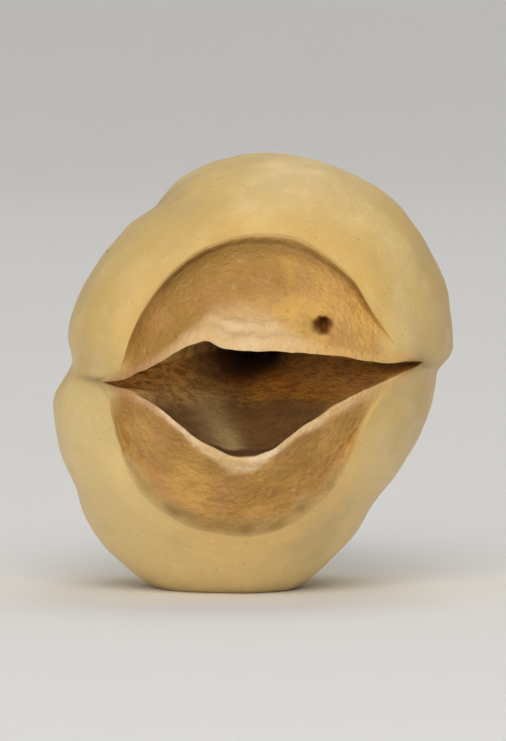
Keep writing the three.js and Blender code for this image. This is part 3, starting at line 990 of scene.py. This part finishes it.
def seed_bump(g, inside, splits):
    """Grain, pores, lengthwise ripples and the hairline splits, all finer than the mesh."""
    grainy = g.math("MULTIPLY", g.math("MAXIMUM", g.mask("crater"), inside), SKIN_GRAIN)
    grain = g.math("MULTIPLY", g.noise(GRAIN), g.math("ADD", grainy, FLESH_GRAIN))
    pores = g.math("MULTIPLY", g.noise(PORES), PORE_HEIGHT)
    relief = g.math("SUBTRACT", g.math("ADD", grain, pores), g.math("MULTIPLY", splits, SPLIT_CUT))
    node = g.add("ShaderNodeBump")
    node.inputs["Strength"].default_value = BUMP_STRENGTH
    node.inputs["Distance"].default_value = BUMP_DISTANCE * MM
    g.join(g.math("ADD", relief, g.noise(RIPPLE)), node.inputs["Height"])
    g.join(node.outputs["Normal"], g.shader.inputs["Normal"])


def seed_material(colours):
    """One material for the whole grown piece, told apart by the marks that its mesh bears."""
    g = Graph("lotus_seed_skin")
    inside = g.ramp(g.mask("hollow"), 0.0, 0.06)
    splits = 0.0
    for split in SPLITS:
        splits = g.math("MAXIMUM", splits, g.split(*split))
    g.join(seed_colour(g, colours, splits), g.shader.inputs["Base Color"])
    seed_surface(g, inside)
    seed_bump(g, inside, splits)
    return g.material


class LOTUS_OT_seed(bpy.types.Operator):
    """Models the seed in place of the plain solid of the frame"""
    bl_idname = "lotus.seed"
    bl_label = "Lotus seed"

    def execute(self, context):
        scene = context.scene
        piece = link_object("seed", seed_mesh(scene.lotus_sizes))
        piece.data.materials.append(seed_material(scene.lotus_colours))
        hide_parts(NODE)
        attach(piece, "root")
        return {"FINISHED"}


def backdrop_mesh(radius):
    """A round floor that curves up into a wall, spun from its profile."""
    bm = bmesh.new()
    bend = radius * BACKDROP_BEND
    profile = [Vector((0, 0, 0)), Vector((radius * BACKDROP_MIDDLE, 0, 0)), Vector((radius - bend, 0, 0))]
    for step in range(1, BACKDROP_STEPS + 1):
        turn = step / BACKDROP_STEPS * math.pi / 2
        profile.append(Vector((radius - bend + bend * math.sin(turn), 0, bend - bend * math.cos(turn))))
    profile.append(Vector((radius, 0, radius)))
    verts = [bm.verts.new(point) for point in profile]
    for start, end in zip(verts, verts[1:]):
        bm.edges.new((start, end))
    full_spin(bm, BACKDROP_SIDES)
    bmesh.ops.remove_doubles(bm, verts=bm.verts[:], dist=1e-6)
    for face in bm.faces:
        face.smooth = True
        if face.normal.dot(Vector((0, 0, radius)) - face.calc_center_median()) < 0:
            face.normal_flip()
    mesh = bpy.data.meshes.new("backdrop")
    bm.to_mesh(mesh)
    bm.free()
    return mesh


def floor_material(colour):
    g = Graph("floor_paper")
    paler = tuple(min(1.0, c * FLOOR_PALER) for c in colour)
    g.join(g.spread(colour, paler, FLOOR_MOTTLE), g.shader.inputs["Base Color"])
    g.shader.inputs["Roughness"].default_value = FLOOR_ROUGHNESS
    return g.material


def aim(thing, target):
    """Turns a light or a camera so that it looks at the target."""
    thing.rotation_mode = "QUATERNION"
    thing.rotation_quaternion = (target - thing.location).to_track_quat("-Z", "Y")


def around(target, azimuth, elevation, distance):
    """The place at that distance from the target: azimuth 0 is in front, at -Y, and 90 at +X."""
    a, e = math.radians(azimuth), math.radians(elevation)
    return target + distance * Vector((math.sin(a) * math.cos(e), -math.cos(a) * math.cos(e), math.sin(e)))


def soft_light(name, target, azimuth, elevation, size, power, colour):
    light = bpy.data.lights.new(name, "AREA")
    light.shape = "DISK"
    light.size = size
    light.energy = power
    light.color = colour
    lamp = link_object(name, light)
    lamp.location = around(target, azimuth, elevation, LIGHT_DISTANCE)
    aim(lamp, target)


def even_light(strength):
    world = bpy.data.worlds.new("studio")
    world.use_nodes = True
    background = world.node_tree.nodes["Background"]
    background.inputs["Color"].default_value = opaque(WORLD_COLOUR)
    background.inputs["Strength"].default_value = strength
    return world


class LOTUS_OT_stage(bpy.types.Operator):
    """Sets the pale floor and backdrop, the soft lights and the camera"""
    bl_idname = "lotus.stage"
    bl_label = "Stage"

    def execute(self, context):
        scene = context.scene
        settings = scene.lotus_stage
        middle = (CAD_LOW + CAD_HIGH) / 2
        floor = link_object("floor", backdrop_mesh(settings.backdrop_radius))
        floor.data.materials.append(floor_material(settings.floor))

        for name, azimuth, elevation, size, share, colour in LIGHTS:
            soft_light(name, middle, azimuth, elevation, size, settings.key_power * share, colour)
        scene.world = even_light(settings.world_strength)

        camera = bpy.data.cameras.new("camera")
        camera.lens = settings.lens
        camera.clip_start = 0.001
        camera.clip_end = 10
        viewer = link_object("camera", camera)
        viewer.location = around(middle, 0, math.degrees(settings.elevation), settings.distance)
        aim(viewer, middle)
        scene.camera = viewer
        scene.view_settings.view_transform = "Standard"
        return {"FINISHED"}


class LOTUS_PT_panel(bpy.types.Panel):
    """Lists the seed's sizes and colours and the stage's settings"""
    bl_idname = "LOTUS_PT_panel"
    bl_label = "Lotus seed"
    bl_space_type = "VIEW_3D"
    bl_region_type = "UI"
    bl_category = "Lotus seed"

    def draw(self, context):
        scene = context.scene
        for title, settings, operator in (
            ("Sizes", scene.lotus_sizes, None),
            ("Colours", scene.lotus_colours, LOTUS_OT_seed.bl_idname),
            ("Stage", scene.lotus_stage, LOTUS_OT_stage.bl_idname),
        ):
            box = self.layout.box()
            box.label(text=title)
            for name in type(settings).__annotations__:
                box.prop(settings, name)
            if operator:
                box.operator(operator)


CLASSES = (SeedSizes, SeedColours, StageSettings, LOTUS_OT_seed, LOTUS_OT_stage, LOTUS_PT_panel)


def register():
    for cls in CLASSES:
        bpy.utils.register_class(cls)
    bpy.types.Scene.lotus_sizes = PointerProperty(type=SeedSizes)
    bpy.types.Scene.lotus_colours = PointerProperty(type=SeedColours)
    bpy.types.Scene.lotus_stage = PointerProperty(type=StageSettings)


def unregister():
    for name in ("lotus_stage", "lotus_colours", "lotus_sizes"):
        delattr(bpy.types.Scene, name)
    for cls in reversed(CLASSES):
        bpy.utils.unregister_class(cls)


def main():
    register()
    bpy.ops.lotus.seed()
    bpy.ops.lotus.stage()


if __name__ == "__main__":
    main()
